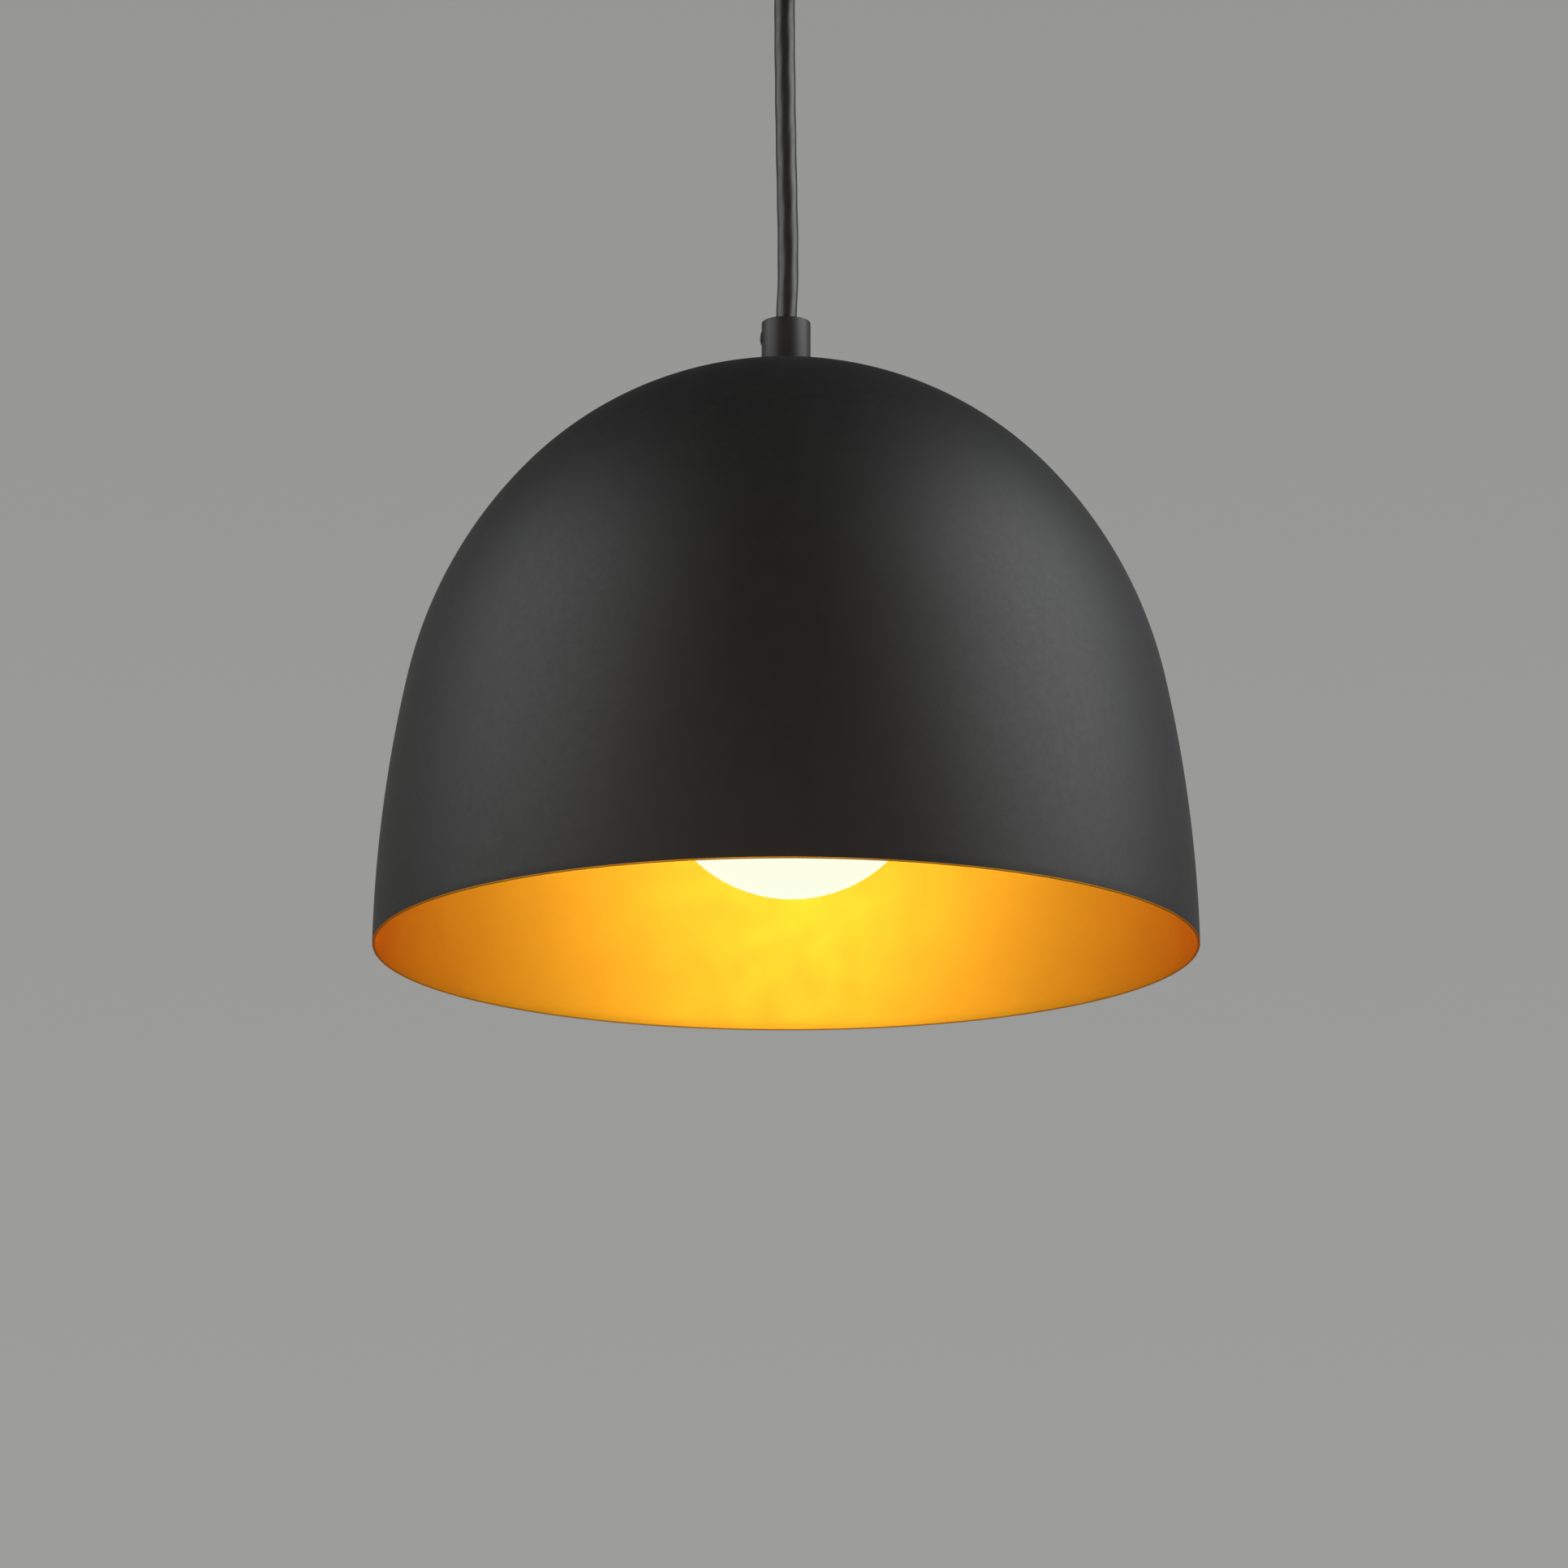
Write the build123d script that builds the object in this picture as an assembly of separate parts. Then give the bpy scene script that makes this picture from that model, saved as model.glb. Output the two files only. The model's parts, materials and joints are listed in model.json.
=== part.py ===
"""Dome pendant lamp on a cord: ceiling fitting, cord, shade, lampholder and globe bulb.

Millimetres, +Z up. The origin is the middle of the ceiling face, and the lamp hangs below it.
"""

import os
from math import asin, cos, degrees, radians, sin, sqrt

from build123d import *

# Cord, and the round grips at its two ends
CORD_R = 3.05
CORD_FREE = 110.0
CORE_R = 0.95
CORE_OFFSET = 1.25
GRIP_R = 7.1
GRIP_H = 15.0
GRIP_BORE_R = 3.4
GRIP_MOUTH_R = 4.3
GRIP_THREAD_DEPTH = 7.0
GRIP_SCREW_DROP = 4.9
GRIP_SCREW_R = 2.0
GRIP_SCREW_PROUD = 0.45

# M10 x 1 hollow threaded tubes, nuts and washers
NIPPLE_R = 4.95
NIPPLE_BORE_R = 3.5
NIPPLE_HOLE_R = 5.2
THREAD_GAP = 0.05
NUT_FLATS = 14.0
NUT_H = 4.0
LOCK_WASHER_R = 8.0
LOCK_WASHER_T = 0.8

# Shade: a skirt, a shoulder and a crown, each an arc that runs on from the last
RIM_R = 117.5
RIM_LEAN = 1.0
SKIRT_R = 396.5
SKIRT_END_LEAN = 12.2
SHOULDER_R = 128.0
SHOULDER_END_LEAN = 43.2
SHEET = 0.8
SEAT_R = 11.0

# Canopy and its crossbar
CANOPY_R = 57.5
CANOPY_DEPTH = 25.0
CANOPY_SHEET = 1.0
CANOPY_EDGE_R = 6.0
STRAP_LENGTH = 108.0
STRAP_WIDTH = 20.0
STRAP_T = 2.0
BOX_SLOT_SPACING = 88.9
BOX_SLOT_LENGTH = 12.0
BOX_SLOT_WIDTH = 4.6
STRAP_CENTRE_HOLE_R = 4.7
STUD_SPACING = 69.85
STUD_R = 2.05
STUD_LENGTH = 31.5
CANOPY_NUT_R = 4.8
CANOPY_NUT_H = 8.5
GROUND_SCREW_X = -18.0
GROUND_SCREW_R = 1.75

# Lampholder
SPACER_T = 1.4
CAP_R = 19.0
CAP_WALL = 1.5
CAP_TOP_T = 2.0
CAP_H = 20.5
CAP_EDGE_R = 5.0
RING_T = 0.8
BODY_H = 39.0
BODY_NECK_R = 17.2
BODY_BORE_R = 15.0
BODY_CHAMBER_R = 14.5
BLOCK_T = 4.0
SHELL_R = 14.5
SHELL_WALL = 0.5
SHELL_H = 24.5
TERMINAL_X = 9.5
TERMINAL_R = 1.5

# Bulb: an 80 mm globe on a 26 mm screw base, leaning a little in its lampholder
GLOBE_R = 40.0
GLOBE_RISE = 55.2
GLASS = 0.9
NECK_R = 13.6
NECK_BLEND_R = 12.0
BULB_LENGTH = 116.0
BASE_R = 13.1
BASE_H = 20.5
BASE_TIP = 3.9
BULB_LEAN = 1.5

# Heights worked out from the dimensions above
CANOPY_MOUTH_Z = -CANOPY_DEPTH - GRIP_H
CANOPY_WASHER_Z = -CANOPY_DEPTH + CANOPY_SHEET + LOCK_WASHER_T
COLLAR_TOP_Z = CANOPY_MOUTH_Z - CORD_FREE
SEAT_Z = COLLAR_TOP_Z - GRIP_H
WASHER_T = 1.5
SHADE_NUT_Z = SEAT_Z - SHEET - WASHER_T - LOCK_WASHER_T
CAP_Z = SHADE_NUT_Z - NUT_H - SPACER_T
CAP_NUT_Z = CAP_Z - CAP_TOP_T - RING_T
NIPPLE_END_Z = CAP_NUT_Z - NUT_H - 1.2
JACKET_END_Z = NIPPLE_END_Z - 3.0
BODY_Z = CAP_Z - CAP_H
BLOCK_Z = BODY_Z - 3.5
SHELL_Z = BLOCK_Z - BLOCK_T - 1.0
CEILING_JACKET_END_Z = -13.0


def rod(z_top, z_bottom, radius, bore=0.0):
    """A round rod, disc or tube on the lamp's axis."""
    height = z_top - z_bottom
    solid = Pos(0, 0, z_bottom) * Cylinder(radius, height, align=(Align.CENTER, Align.CENTER, Align.MIN))
    if bore:
        hole = Cylinder(bore, height + 2, align=(Align.CENTER, Align.CENTER, Align.MIN))
        solid -= Pos(0, 0, z_bottom - 1) * hole
    return solid


def turned(edges):
    """A solid turned about the lamp's axis from a closed outline of radius and height."""
    outline = Plane.XZ * Face(Wire(edges))
    return revolve(outline, Axis.Z)


def turned_outline(points):
    """A turned solid whose outline is straight between its points."""
    return turned(Polyline(*points, close=True).edges())


def hexagon(z_top, flats, height):
    """A hexagon nut or head, not yet bored, with its corners chamfered at both faces."""
    blank = extrude(RegularPolygon(flats / 2, 6, major_radius=False), height)
    blank &= turned_outline(
        [
            (0, 0),
            (flats * 0.51, 0),
            (flats * 0.6, flats * 0.05),
            (flats * 0.6, height - flats * 0.05),
            (flats * 0.51, height),
            (0, height),
        ]
    )
    return Pos(0, 0, z_top - height) * blank


def hex_nut(z_top, flats, height, thread_r):
    """A hexagon nut for a thread of the radius given."""
    return hexagon(z_top, flats, height) - rod(z_top + 1, z_top - height - 1, thread_r + THREAD_GAP)


def tooth_washer(z_top):
    """A lock washer with teeth cut in its inner edge."""
    washer = rod(z_top, z_top - LOCK_WASHER_T, LOCK_WASHER_R, NIPPLE_R + THREAD_GAP)
    notch = Pos(0, 0, z_top - LOCK_WASHER_T / 2) * Box(1.2, 1.2, 2)
    for place in PolarLocations(NIPPLE_R + 0.8, 12):
        washer -= place * notch
    return washer


def core(points, radius):
    """One insulated core of the cord along a route with rounded corners."""
    path = FilletPolyline(*points, radius=radius)
    section = Plane(origin=path @ 0, z_dir=path % 0) * Circle(CORE_R)
    return sweep(section, path=path)


def core_start(angle, z):
    """Where one of the three cores leaves the cord's sheath."""
    return (CORE_OFFSET * cos(radians(angle)), CORE_OFFSET * sin(radians(angle)), z)


# Cord grips ------------------------------------------------------------------------------


def grip():
    """A round cord grip with its mouth at the origin, opening upward."""
    block = rod(0, -GRIP_H, GRIP_R)
    block = fillet(block.edges().sort_by(Axis.Z)[-1], 0.9)
    block = chamfer(block.edges().sort_by(Axis.Z)[0], 0.3)
    block -= rod(1, -GRIP_H - 1, GRIP_BORE_R)
    block -= turned_outline([(0, 0), (GRIP_MOUTH_R, 0), (GRIP_BORE_R, -0.9), (0, -0.9)])
    block -= rod(GRIP_THREAD_DEPTH - GRIP_H, -GRIP_H - 1, NIPPLE_R + THREAD_GAP)
    hole = Rot(0, 90, 0) * Cylinder(GRIP_SCREW_R + THREAD_GAP, 2 * GRIP_R)
    return block - Pos(-GRIP_R, 0, -GRIP_SCREW_DROP) * hole


def grip_screw():
    """The slotted screw that clamps the cord in its grip, from the -X side."""
    length = GRIP_R + GRIP_SCREW_PROUD - CORD_R - THREAD_GAP
    screw = Cylinder(GRIP_SCREW_R, length, align=(Align.CENTER, Align.CENTER, Align.MIN))
    screw = chamfer(screw.edges().sort_by(Axis.Z)[-1], 0.3)
    screw -= Pos(0, 0, length) * Box(3 * GRIP_SCREW_R, 0.7, 1.6)
    return Pos(-CORD_R - THREAD_GAP, 0, -GRIP_SCREW_DROP) * Rot(0, -90, 0) * screw


def at_collar(solid):
    """Moves a grip's piece to the top of the shade."""
    return Pos(0, 0, COLLAR_TOP_Z) * solid


def at_canopy(solid):
    """Moves a grip's piece under the canopy, mouth down."""
    return Pos(0, 0, CANOPY_MOUTH_Z) * Rot(180, 0, 0) * solid


# Ceiling fitting -------------------------------------------------------------------------


def mounting_strap():
    """The slotted crossbar that screws to the ceiling box."""
    strap = Pos(0, 0, -STRAP_T / 2) * Box(STRAP_LENGTH, STRAP_WIDTH, STRAP_T)
    strap = fillet(strap.edges().filter_by(Axis.Z), 4)
    strap -= Cylinder(STRAP_CENTRE_HOLE_R, 4 * STRAP_T)
    strap -= Pos(GROUND_SCREW_X, 0, 0) * Cylinder(GROUND_SCREW_R + THREAD_GAP, 4 * STRAP_T)
    slot = Pos(0, 0, -2 * STRAP_T) * extrude(SlotOverall(BOX_SLOT_LENGTH, BOX_SLOT_WIDTH), 4 * STRAP_T)
    for side in (-1, 1):
        strap -= Pos(side * BOX_SLOT_SPACING / 2, 0, 0) * slot
        strap -= Pos(side * STUD_SPACING / 2, 0, 0) * Cylinder(STUD_R + THREAD_GAP, 4 * STRAP_T)
    return strap


def ground_screw():
    """The earth screw, head down under the crossbar."""
    head = hexagon(-STRAP_T - 2.0, 7.0, 2.4)
    return Pos(GROUND_SCREW_X, 0, 0) * (rod(0, -STRAP_T - 3.0, GROUND_SCREW_R) + head)


def pair(solid):
    """Two of a solid, at the canopy studs' places."""
    return Compound([Pos(side * STUD_SPACING / 2, 0, 0) * solid for side in (-1, 1)])


def canopy_stud():
    """One threaded stud, screwed into the crossbar."""
    return rod(0, -STUD_LENGTH, STUD_R)


def canopy_nut():
    """One knurled cap nut, closed below."""
    nut = rod(-CANOPY_DEPTH, -CANOPY_DEPTH - CANOPY_NUT_H, CANOPY_NUT_R)
    nut = fillet(nut.edges().sort_by(Axis.Z)[0], 1.5)
    groove = Pos(0, 0, -CANOPY_DEPTH - 4.0) * Cylinder(0.35, 5.0)
    for place in PolarLocations(CANOPY_NUT_R, 24):
        nut -= place * groove
    return nut - rod(-CANOPY_DEPTH + 1, -STUD_LENGTH - 0.5, STUD_R + THREAD_GAP)


def canopy():
    """The round cover, open at the ceiling."""
    inner_r = CANOPY_R - CANOPY_SHEET
    floor_z = -CANOPY_DEPTH
    corner = CANOPY_EDGE_R
    inner_corner = corner - CANOPY_SHEET
    centre = (CANOPY_R - corner, floor_z + corner)
    outer = CenterArc(centre, corner, 0, -90)
    inner = CenterArc(centre, inner_corner, 0, -90)
    edges = [
        Line((CANOPY_R, 0), outer @ 0),
        outer,
        Line(outer @ 1, (NIPPLE_HOLE_R, floor_z)),
        Line((NIPPLE_HOLE_R, floor_z), (NIPPLE_HOLE_R, floor_z + CANOPY_SHEET)),
        Line((NIPPLE_HOLE_R, floor_z + CANOPY_SHEET), inner @ 1),
        inner,
        Line(inner @ 0, (inner_r, 0)),
        Line((inner_r, 0), (CANOPY_R, 0)),
    ]
    cover = turned(edges)
    for side in (-1, 1):
        hole = Cylinder(STUD_R + 0.35, 4 * CANOPY_SHEET)
        cover -= Pos(side * STUD_SPACING / 2, 0, floor_z) * hole
    return cover


def wire_connector():
    """One ribbed twist-on connector, its mouth at the origin, pointing along +X."""
    bore = CORE_R + THREAD_GAP
    shell = turned_outline(
        [(bore, 0), (5.2, 0), (5.2, 4), (3.6, 17), (2.4, 18.5), (0, 18.5), (0, 8), (bore, 8)]
    )
    rib = Pos(0, 0, 8) * Cylinder(0.6, 13)
    for place in PolarLocations(5.1, 8):
        shell -= place * rib
    return Rot(0, 90, 0) * shell


def wire_connectors():
    """The connectors of the two live cores."""
    right = Pos(12, 26, -9) * wire_connector()
    return Compound([right, mirror(right, about=Plane.YZ)])


def ceiling_lead(angle, side):
    """A live core from the sheath to its connector, on the side given."""
    start = core_start(angle, CEILING_JACKET_END_Z)
    turn = (start[0], start[1], -9)
    points = [start, turn, (side * 3, 12, -9), (side * 6, 26, -9), (side * 18, 26, -9)]
    return core(points, 3.0)


def ceiling_ground_lead():
    """The earth core from the sheath to the crossbar's screw."""
    start = core_start(270, CEILING_JACKET_END_Z)
    points = [start, (start[0], start[1], -8), (-8, -9, -7), (-16, -6, -3), (GROUND_SCREW_X, -3, -2.96)]
    return core(points, 1.9)


# Lamp ------------------------------------------------------------------------------------


def shade_arcs():
    """Centre, radius and start lean of the skirt, shoulder and crown, with the rim at height 0."""
    arcs = []
    r, z, lean = RIM_R, 0.0, RIM_LEAN
    for radius, end_lean in ((SKIRT_R, SKIRT_END_LEAN), (SHOULDER_R, SHOULDER_END_LEAN)):
        centre = (r - radius * cos(radians(lean)), z - radius * sin(radians(lean)))
        arcs.append((centre, radius, lean))
        r = centre[0] + radius * cos(radians(end_lean))
        z = centre[1] + radius * sin(radians(end_lean))
        lean = end_lean
    crown_r = r / cos(radians(lean))
    arcs.append(((0.0, z - crown_r * sin(radians(lean))), crown_r, lean))
    return arcs


def seat_height():
    """The height of the flat seat above the rim."""
    centre, crown_r, _ = shade_arcs()[-1]
    return centre[1] + sqrt(crown_r**2 - SEAT_R**2)


SHADE_H = seat_height()
RIM_Z = SEAT_Z - SHADE_H
GLOBE_Z = RIM_Z + GLOBE_RISE
BULB_TIP_Z = GLOBE_Z - GLOBE_R + BULB_LENGTH
BASE_Z = BULB_TIP_Z - BASE_TIP
BASE_END_Z = BASE_Z - BASE_H
LEAN_CENTRE_Z = (BASE_Z + BASE_END_Z) / 2


def shade_wall(inset):
    """The wall's three arcs, from rim to seat, moved inward by the inset."""
    curves = []
    arcs = shade_arcs()
    crown_centre, crown_r, _ = arcs[-1]
    crown_end = degrees(asin((SHADE_H - inset - crown_centre[1]) / (crown_r - inset)))
    end_leans = (SKIRT_END_LEAN, SHOULDER_END_LEAN, crown_end)
    for (centre, radius, lean), end_lean in zip(arcs, end_leans):
        place = (centre[0], centre[1] + RIM_Z)
        curves.append(CenterArc(place, radius - inset, lean, end_lean - lean))
    return curves


def shade():
    """The spun dome, with a flat seat and a hole on top."""
    outer = shade_wall(0.0)
    inner = shade_wall(SHEET)
    hole_top = (NIPPLE_HOLE_R, SEAT_Z)
    hole_bottom = (NIPPLE_HOLE_R, SEAT_Z - SHEET)
    joins = [
        Line(outer[-1] @ 1, hole_top),
        Line(hole_top, hole_bottom),
        Line(hole_bottom, inner[-1] @ 1),
        Line(inner[0] @ 0, outer[0] @ 0),
    ]
    return turned(outer + inner + joins)


def socket_cap():
    """The lampholder's cap, hung on the nipple."""
    bottom = BODY_Z
    inner_r = CAP_R - CAP_WALL
    corner = (CAP_R - CAP_EDGE_R, CAP_Z - CAP_EDGE_R)
    outer = CenterArc(corner, CAP_EDGE_R, 90, -90)
    inner = CenterArc(corner, CAP_EDGE_R - CAP_WALL, 90, -90)
    ceiling = CAP_Z - CAP_TOP_T
    bend = (inner @ 0).X
    bore = NIPPLE_R + THREAD_GAP
    edges = [
        Line((bore, CAP_Z), outer @ 0),
        outer,
        Line(outer @ 1, (CAP_R, bottom)),
        Line((CAP_R, bottom), (inner_r, bottom)),
        Line((inner_r, bottom), inner @ 1),
        inner,
        Line(inner @ 0, (bend, ceiling)),
        Line((bend, ceiling), (bore, ceiling)),
        Line((bore, ceiling), (bore, CAP_Z)),
    ]
    return turned(edges)


def ground_ring():
    """The ring terminal under the cap's nut, with its tab towards +Y."""
    top = CAP_Z - CAP_TOP_T
    tab = Pos(0, 9, top - RING_T / 2) * Box(4, 6, RING_T)
    ring = rod(top, top - RING_T, 8.0) + tab
    return ring - rod(top + 1, top - 2, NIPPLE_R + THREAD_GAP)


def socket_body():
    """The lampholder's body: terminals in the top chamber, the screw shell below."""
    end = BODY_Z - BODY_H
    block_end = BLOCK_Z - BLOCK_T
    body = turned_outline(
        [
            (BODY_CHAMBER_R, BODY_Z + 7.5),
            (BODY_NECK_R, BODY_Z + 7.5),
            (BODY_NECK_R, BODY_Z),
            (CAP_R, BODY_Z),
            (CAP_R, end + 5.0),
            (CAP_R + 1.5, end + 4.0),
            (CAP_R + 1.5, end + 1.0),
            (CAP_R + 0.5, end),
            (BODY_BORE_R + 0.8, end),
            (BODY_BORE_R, end + 0.8),
            (BODY_BORE_R, block_end),
            (0, block_end),
            (0, BLOCK_Z),
            (BODY_CHAMBER_R, BLOCK_Z),
        ]
    )
    for side in (-1, 1):
        body -= Pos(side * TERMINAL_X, 0, 0) * rod(BLOCK_Z + 1, block_end - 1, TERMINAL_R + THREAD_GAP)
    return body


def terminal_screws():
    """The two terminal screws, heads up in the top chamber."""
    screws = []
    for side, reach in ((-1, 0.05), (1, 0.95)):
        head = rod(BLOCK_Z + 2.2, BLOCK_Z, 3.1)
        head = fillet(head.edges().sort_by(Axis.Z)[-1], 0.8)
        head -= Pos(0, 0, BLOCK_Z + 2.2) * Box(8, 0.8, 2.0)
        shank = rod(BLOCK_Z, BLOCK_Z - BLOCK_T - reach, TERMINAL_R)
        screws.append(Pos(side * TERMINAL_X, 0, 0) * (head + shank))
    return Compound(screws)


def screw_shell():
    """The metal shell that the bulb's base turns into."""
    hole = 7.0
    inner = SHELL_R - SHELL_WALL
    end = SHELL_Z - SHELL_H
    return turned_outline(
        [
            (hole, SHELL_Z),
            (SHELL_R, SHELL_Z),
            (SHELL_R, end),
            (inner, end),
            (inner, SHELL_Z - SHELL_WALL),
            (hole, SHELL_Z - SHELL_WALL),
        ]
    )


def centre_contact():
    """The spring tab above the bulb's tip, with a pip pressed in it."""
    top = BLOCK_Z - BLOCK_T - 0.1
    strip = Pos(-3.5, 0, top - 0.25) * Box(15, 6, 0.5)
    pip = Pos(0, 0, top - 0.5) * Cone(1.0, 2.4, 1.4, align=(Align.CENTER, Align.CENTER, Align.MAX))
    return strip + pip


def lamp_lead(angle, side):
    """A live core from the sheath to its terminal."""
    start = core_start(angle, JACKET_END_Z)
    turn_z = JACKET_END_Z - 3.5
    x = side * (TERMINAL_X - 4.3)
    points = [start, (start[0], start[1], turn_z), (x, 0, turn_z - 3.5), (x, 0, BLOCK_Z + 0.3)]
    return core(points, 2.5)


def lamp_ground_lead():
    """The earth core, turned back up to the ring terminal."""
    start = core_start(90, JACKET_END_Z)
    low = JACKET_END_Z - 3.0
    points = [start, (0, start[1], low), (0, 10.2, low), (0, 10.2, CAP_Z - CAP_TOP_T - RING_T)]
    return core(points, 2.4)


# Bulb ------------------------------------------------------------------------------------


def leaning(solid):
    """Leans a piece of the bulb about the middle of its base, the globe towards +X."""
    return Pos(0, 0, LEAN_CENTRE_Z) * Rot(0, -BULB_LEAN, 0) * Pos(0, 0, -LEAN_CENTRE_Z) * solid


def glass_wall(inset):
    """The globe, the blend to the neck and the neck, moved inward by the inset."""
    ball = GLOBE_R - inset
    blend = NECK_BLEND_R + inset
    neck = NECK_R - inset
    rise = sqrt((ball + blend) ** 2 - (neck + blend) ** 2)
    meet = degrees(asin(rise / (ball + blend)))
    globe = CenterArc((0, GLOBE_Z), ball, -90, 90 + meet)
    bend = CenterArc((neck + blend, GLOBE_Z + rise), blend, 180 + meet, -meet)
    return [globe, bend, Line(bend @ 1, (neck, BASE_END_Z - 0.5))]


def bulb_envelope():
    """The hollow glass globe with its neck, let into the base."""
    outer = glass_wall(0.0)
    inner = glass_wall(GLASS)
    lip_r = BASE_R - 0.6
    lip_z = BASE_END_Z + 2.0
    joins = [
        Line(outer[-1] @ 1, (lip_r, BASE_END_Z)),
        Line((lip_r, BASE_END_Z), (lip_r, lip_z)),
        Line((lip_r, lip_z), (lip_r - GLASS, lip_z)),
        Line((lip_r - GLASS, lip_z), (lip_r - GLASS, BASE_END_Z)),
        Line((lip_r - GLASS, BASE_END_Z), inner[-1] @ 1),
        Line(inner[0] @ 0, outer[0] @ 0),
    ]
    return leaning(turned(outer + inner + joins))


def bulb_base_shell():
    """The bulb's metal screw base."""
    wall = 0.4
    return leaning(
        turned_outline(
            [
                (BASE_R, BASE_END_Z),
                (BASE_R, BASE_Z - 1.5),
                (BASE_R - 2.5, BASE_Z),
                (BASE_R - 2.5 - wall, BASE_Z),
                (BASE_R - wall, BASE_Z - 1.5 - wall),
                (BASE_R - wall, BASE_END_Z),
            ]
        )
    )


def bulb_insulator():
    """The glass button between the base's shell and its contact."""
    top = BULB_TIP_Z - 0.7
    plug_r = BASE_R - 3.0
    bottom = BASE_Z - 2
    return leaning(turned_outline([(0, bottom), (plug_r, bottom), (plug_r, BASE_Z), (5.0, top), (0, top)]))


def bulb_contact():
    """The bulb's tip contact."""
    top = BULB_TIP_Z
    return leaning(turned_outline([(0, top - 0.7), (4.4, top - 0.7), (3.4, top - 0.2), (1.5, top), (0, top)]))


def bulb_stem():
    """The glass stem that carries the filament."""
    flare_z = BASE_END_Z - 1.0
    return leaning(
        turned_outline(
            [
                (0, flare_z),
                (NECK_R - GLASS - 0.04, flare_z),
                (5.0, flare_z - 7),
                (3.0, flare_z - 16),
                (3.0, flare_z - 28),
                (1.5, flare_z - 31),
                (1.5, GLOBE_Z + 4),
                (0, GLOBE_Z + 4),
            ]
        )
    )


def filament_end(side):
    """One end of the filament."""
    return (side * 16.0, 0, GLOBE_Z)


def bulb_support_wires():
    """The two lead-in wires from the stem to the filament's ends."""
    wires = []
    for side in (-1, 1):
        start = (side * 3.4, 0, BASE_END_Z - 27)
        path = Line(start, filament_end(side))
        section = Plane(origin=path @ 0, z_dir=path % 0) * Circle(0.35)
        wires.append(leaning(sweep(section, path=path)))
    return Compound(wires)


def bulb_filament():
    """The filament: a bow between the wires, under the stem."""
    path = ThreePointArc(filament_end(-1), (0, 0, GLOBE_Z - 4), filament_end(1))
    section = Plane(origin=path @ 0, z_dir=path % 0) * Circle(0.6)
    return leaning(Pos(0, 0, -1.0) * sweep(section, path=path))


# The free cord ---------------------------------------------------------------------------


def cord():
    """The free cord, with a rounded end in each grip's mouth."""
    run = rod(CANOPY_MOUTH_Z, COLLAR_TOP_Z, CORD_R)
    return run + Pos(0, 0, CANOPY_MOUTH_Z) * Sphere(CORD_R) + Pos(0, 0, COLLAR_TOP_Z) * Sphere(CORD_R)


CORD_END_GAP = CORD_R + 0.35
NIPPLE_SET = GRIP_H - GRIP_THREAD_DEPTH + 0.5

NODES = {
    "mounting_strap": mounting_strap(),
    "ground_screw": ground_screw(),
    "canopy_studs": pair(canopy_stud()),
    "stud_locknuts": pair(hex_nut(-STRAP_T, 8.7, 3.2, STUD_R)),
    "canopy_nuts": pair(canopy_nut()),
    "canopy": canopy(),
    "canopy_nipple": rod(-17.0, CANOPY_MOUTH_Z + NIPPLE_SET, NIPPLE_R, NIPPLE_BORE_R),
    "canopy_lock_washer": tooth_washer(CANOPY_WASHER_Z),
    "canopy_hex_nut": hex_nut(CANOPY_WASHER_Z + NUT_H, NUT_FLATS, NUT_H, NIPPLE_R),
    "canopy_grip": at_canopy(grip()),
    "canopy_grip_screw": at_canopy(grip_screw()),
    "wire_connectors": wire_connectors(),
    "ceiling_hot_lead": ceiling_lead(30, 1),
    "ceiling_neutral_lead": ceiling_lead(150, -1),
    "ceiling_ground_lead": ceiling_ground_lead(),
    "cord_ceiling_end": rod(CEILING_JACKET_END_Z, CANOPY_MOUTH_Z + CORD_END_GAP, CORD_R),
    "cord": cord(),
    "cord_collar": at_collar(grip()),
    "collar_screw": at_collar(grip_screw()),
    "cord_lamp_end": rod(COLLAR_TOP_Z - CORD_END_GAP, JACKET_END_Z, CORD_R),
    "shade_nipple": rod(COLLAR_TOP_Z - NIPPLE_SET, NIPPLE_END_Z, NIPPLE_R, NIPPLE_BORE_R),
    "shade": shade(),
    "shade_washer": rod(SEAT_Z - SHEET, SEAT_Z - SHEET - WASHER_T, SEAT_R - 1.0, NIPPLE_HOLE_R),
    "shade_lock_washer": tooth_washer(SEAT_Z - SHEET - WASHER_T),
    "shade_nut": hex_nut(SHADE_NUT_Z, NUT_FLATS, NUT_H, NIPPLE_R),
    "cap_washer": rod(CAP_Z + SPACER_T, CAP_Z, LOCK_WASHER_R, NIPPLE_HOLE_R),
    "socket_cap": socket_cap(),
    "ground_ring": ground_ring(),
    "cap_nut": hex_nut(CAP_NUT_Z, NUT_FLATS, NUT_H, NIPPLE_R),
    "socket_body": socket_body(),
    "terminal_screws": terminal_screws(),
    "screw_shell": screw_shell(),
    "centre_contact": centre_contact(),
    "lamp_hot_lead": lamp_lead(210, -1),
    "lamp_neutral_lead": lamp_lead(330, 1),
    "lamp_ground_lead": lamp_ground_lead(),
    "bulb_envelope": bulb_envelope(),
    "bulb_base_shell": bulb_base_shell(),
    "bulb_insulator": bulb_insulator(),
    "bulb_contact": bulb_contact(),
    "bulb_stem": bulb_stem(),
    "bulb_support_wires": bulb_support_wires(),
    "bulb_filament": bulb_filament(),
}

os.makedirs("parts", exist_ok=True)
for name, solid in NODES.items():
    export_step(solid, f"parts/{name}.step")

print("rim height", round(RIM_Z, 2), "shade height", round(SHADE_H, 2))
print("globe centre", round(GLOBE_Z, 2), "bulb tip", round(BULB_TIP_Z, 2), "contact block", round(BLOCK_Z, 2))
print("screw shell", round(SHELL_Z, 2), "base", round(BASE_Z, 2), round(BASE_END_Z, 2))
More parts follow.
